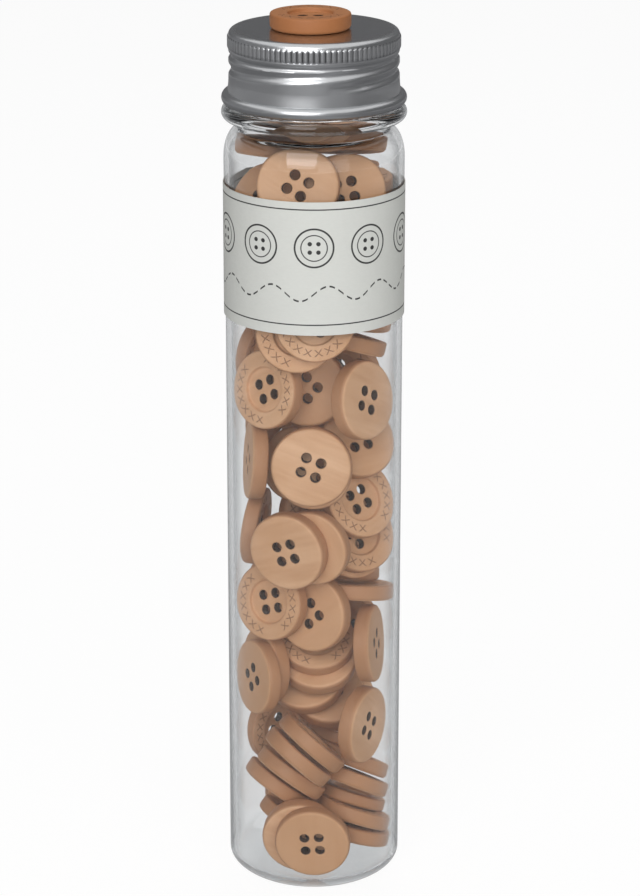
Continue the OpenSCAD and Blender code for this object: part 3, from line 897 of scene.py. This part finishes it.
# %% [markdown]
# ## More buttons between them
# A full tube has a few more buttons between those of the solids. A rigid body simulation could drop them in,
# but it would push the others out of place. Here the rooms that are left are looked for. Turned buttons
# differ by some tenths of a millimetre, and the new ones are the smaller ones. A room is free if it is clear
# of the wall and of each other button, and two buttons are apart if some direction parts them, so many
# directions are tried.

# %% What is free
WAYS = 160
ROOM_HIGH_Z = 199.5
RIM_POINTS = 24
SPARE = 0.06
SMALLER = 0.3

rows = np.arange(WAYS) + 0.5
tilts, turns = np.arccos(1 - rows / WAYS), math.pi * (1 + math.sqrt(5)) * rows
ways = np.stack([np.cos(turns) * np.sin(tilts), np.sin(turns) * np.sin(tilts), np.cos(tilts)], 1)


def reach(cosines, less=0):
    """How far a button reaches from its middle along directions, by their cosines to its axis."""
    return (BUTTON_R - less) * np.sqrt(np.maximum(0, 1 - cosines**2)) + (half - less) * abs(cosines)


def sides_of(axes):
    """Two directions square to each axis."""
    first = np.cross(axes, np.where(abs(axes[:, 2:]) < 0.9, (0, 0, 1), (1, 0, 0)))
    first /= np.linalg.norm(first, axis=1)[:, None]
    return first, np.cross(axes, first)


def in_tube(middles, axes):
    """Which smaller buttons have their whole rim inside the tube."""
    first, second = sides_of(axes)
    inside = np.ones(len(middles), bool)
    for turn in np.linspace(0, math.tau, RIM_POINTS, endpoint=False):
        out = (BUTTON_R - SMALLER) * (math.cos(turn) * first + math.sin(turn) * second)
        for face in (half - SMALLER, SMALLER - half):
            rim = middles + out + face * axes
            radius, height = np.hypot(rim[:, 0], rim[:, 1]), rim[:, 2]
            rise = 1 - np.clip((radius - FOOT_R) / (TUBE_IN_R - FOOT_R), 0, 1) ** 2
            inside &= radius < np.where(height < SHOULDER_Z, TUBE_IN_R, NECK_IN_R) - SPARE
            inside &= height > FOOT_Z - (FOOT_Z - BASE_T) * np.sqrt(rise) + SPARE
            inside &= height < ROOM_HIGH_Z
    return inside


def apart(middles, axes, middle, axis):
    """Which smaller buttons stay clear of one other button."""
    off = middles - middle
    clear = np.linalg.norm(off, axis=1) > 2 * BUTTON_R + half
    near = np.flatnonzero(~clear)
    gaps = [(abs(off[near] @ ways.T) - reach(axes[near] @ ways.T, SMALLER) - reach(ways @ axis)).max(1)]
    for way in (axes[near], np.tile(axis, (len(near), 1))):
        own, other = np.sum(way * axes[near], 1), way @ axis
        gaps.append(abs(np.sum(way * off[near], 1)) - reach(own, SMALLER) - reach(other))
    clear[near] = np.max(gaps, axis=0) > 0
    return clear


print("a new button is", BUTTON_T - 2 * SMALLER, "mm thick")

# %% [markdown]
# Buttons in a tube lie in small stacks, so most new places are flat on a button that is there, shifted to any
# side. Some more are strewn anywhere, turned any way. From the free places the lowest is taken first, as when
# buttons fall in, and each that is taken closes those that it would touch.

# %% New places
SHIFT_STEP = 1.5
SHIFT_TURNS = 30
ROUNDS = 3
STREWN = 400000


def nested(middles, axes):
    """Places flat on each button, on both its sides."""
    first, second = sides_of(axes)
    tries = []
    for side in (1, -1):
        for shift in np.arange(0, 2 * BUTTON_R, SHIFT_STEP):
            for turn in np.linspace(0, math.tau, SHIFT_TURNS, endpoint=False) + shift:
                aside = shift * (math.cos(turn) * first + math.sin(turn) * second)
                tries.append(middles + side * (BUTTON_T - SMALLER + SPARE) * axes + aside)
    return np.concatenate(tries), np.tile(axes, (len(tries), 1))


def strewn(count):
    """Places anywhere in the tube, turned any way."""
    draw = np.random.default_rng(3)
    radius, turn = TUBE_IN_R * np.sqrt(draw.random(count)), math.tau * draw.random(count)
    height = ROOM_HIGH_Z * draw.random(count)
    axes = draw.normal(size=(count, 3))
    axes /= np.linalg.norm(axes, axis=1)[:, None]
    return np.stack([radius * np.cos(turn), radius * np.sin(turn), height], 1), axes


def filled(middles, axes, tries, lying):
    """The buttons and the free ones of the places that are tried."""
    keep = in_tube(tries, lying)
    for middle, axis in zip(middles, axes):
        tries, lying = tries[keep], lying[keep]
        keep = apart(tries, lying, middle, axis)
    tries, lying = tries[keep], lying[keep]
    while len(tries):
        lowest = np.argmin(tries[:, 2])
        middles, axes = np.vstack([middles, tries[lowest]]), np.vstack([axes, lying[lowest]])
        keep = apart(tries, lying, middles[-1], axes[-1])
        tries, lying = tries[keep], lying[keep]
    return middles, axes


there = [place for group in places.values() for place in group]
middles = np.array([place.translation / MM for place in there])
axes = np.array([place.col[2][:3] for place in there])
for _ in range(ROUNDS):
    middles, axes = filled(middles, axes, *nested(middles, axes))
middles, axes = filled(middles, axes, *strewn(STREWN))
middles, axes = filled(middles, axes, *nested(middles, axes))
print(len(there), "buttons of the solids and", len(middles) - len(there), "more between them")

# %% The new buttons
across, through = 1 - SMALLER / BUTTON_R, 1 - SMALLER / half
shrink = Matrix.Diagonal((across, across, through, 1))
extra = []
for middle, axis in zip(middles[len(there):], axes[len(there):]):
    spin = Matrix.Rotation(dice.uniform(0, math.tau), 4, "Z")
    lean = Vector(axis).to_track_quat("Z", "Y").to_matrix().to_4x4()
    extra.append(Matrix.Translation(Vector(middle) * MM) @ lean @ spin @ shrink)
piles.append(pile_of("nested_buttons", extra))
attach(piles[-1], "jar")
bpy.data.objects.remove(button)
print("nested buttons at heights in mm:", sorted(round(place.translation.z / MM) for place in extra))

# %% [markdown]
# Pale turned wood has a fine grain along one direction, short darker flecks and a slow change of tone. The
# cut rim is darker than the faces, the holes are darkened nearly to black, partly by the burn of the drill
# and partly as painted shade in the deep narrow holes, and a ring of small burnt cross stitches runs round
# the hollowed face in two arcs. A photo of timber would repeat on every button. Here all of it is measured
# from the button's own coordinates and its seed.

# %% Turned wood
STITCH_R = 6.95
STITCHES = 18
RIM_FACE_Z = 1.3
BURN = (0.2, 0.09, 0.045, 1)
# nearly black: partly the burn of the drill, partly painted shade in the deep narrow holes
HOLE_BURN_AND_SHADE = (0.025, 0.012, 0.008, 1)


def turned_wood(name, dark, light, rim):
    """A wood finish from the tones of its grain and of its rim."""
    finish, start = new_finish(name)
    place = start.node("ShaderNodeAttribute", {"attribute_name": "local"}, {}, "Vector")
    seed = start.node("ShaderNodeAttribute", {"attribute_name": "seed"}, {}, "Vector")
    tint = start.node("ShaderNodeAttribute", {"attribute_name": "tint"}, {}, "Fac")
    x, y, z = split(place)
    radius = (x * x + y * y) ** 0.5
    grain = cloud(stretch(place, (0.07, 1.1, 1.1), seed), 1.0, 4.0)
    flecks = fade(cloud(stretch(place, (0.7, 5.0, 5.0), seed), 1.0, 2.0), 0.6, 0.72)
    slow = cloud(stretch(place, (0.05, 0.16, 0.16), seed), 1.0, 2.0)

    in_stitch = start.maths("WRAP", start.maths("ARCTAN2", y, x) * (STITCHES / math.tau), 0.5, -0.5)
    along = in_stitch * (math.tau * STITCH_R / STITCHES)
    out = radius - STITCH_R
    cross = start.maths("MINIMUM", abs(along - out), abs(along + out))
    arcs = start.maths("COSINE", start.maths("ARCTAN2", y, x) * 2.0) > -0.75
    burnt = (1 - fade(cross, 0.1, 0.26)) * (1 - fade(abs(out), 0.75, 0.85)) * arcs * (z > RIM_FACE_Z)

    to_hole = ((abs(x) - HOLE_OFF) ** 2 + (abs(y) - HOLE_OFF) ** 2) ** 0.5
    # the holes: partly the burn of the drill, partly painted shade where the holes are deep and narrow
    burnt_and_shaded_hole = 1 - fade(to_hole, HOLE_R - 0.02, HOLE_R + 0.16)
    side = fade(radius, BUTTON_R - 0.5, BUTTON_R - 0.08)

    colour = tone(fade(grain * 0.3 + slow * 0.7, 0.2, 0.8), dark, light)
    colour = tone(tint * 0.7, colour, dark)
    colour = tone(flecks * 0.14, colour, rim)
    colour = tone(side * 0.75, colour, rim)
    colour = tone(burnt * 0.75, colour, BURN)
    colour = tone(burnt_and_shaded_hole * 0.95, colour, HOLE_BURN_AND_SHADE)
    relief = grain * 0.12 + flecks * -0.08 + burnt * -0.6
    shader = start.node("ShaderNodeBsdfPrincipled", {}, {
        "Base Color": colour, "Roughness": 0.5 + grain * 0.12 + burnt * 0.2,
        "Normal": bumps(relief, 0.35, 0.15 * MM),
    })
    start.node("ShaderNodeOutputMaterial", {}, {"Surface": shader})
    return finish


pale_wood = turned_wood("pale_wood", (0.6, 0.317, 0.154, 1), (0.85, 0.52, 0.312, 1), (0.41, 0.183, 0.077, 1))
warm_wood = turned_wood("warm_wood", (0.42, 0.165, 0.06, 1), (0.52, 0.225, 0.09, 1), (0.4, 0.15, 0.05, 1))
for pile in piles:
    pile.data.materials.clear()
    pile.data.materials.append(pale_wood)
knob.data.materials.clear()
knob.data.materials.append(warm_wood)
print("wood on", len(piles) + 1, "pieces")
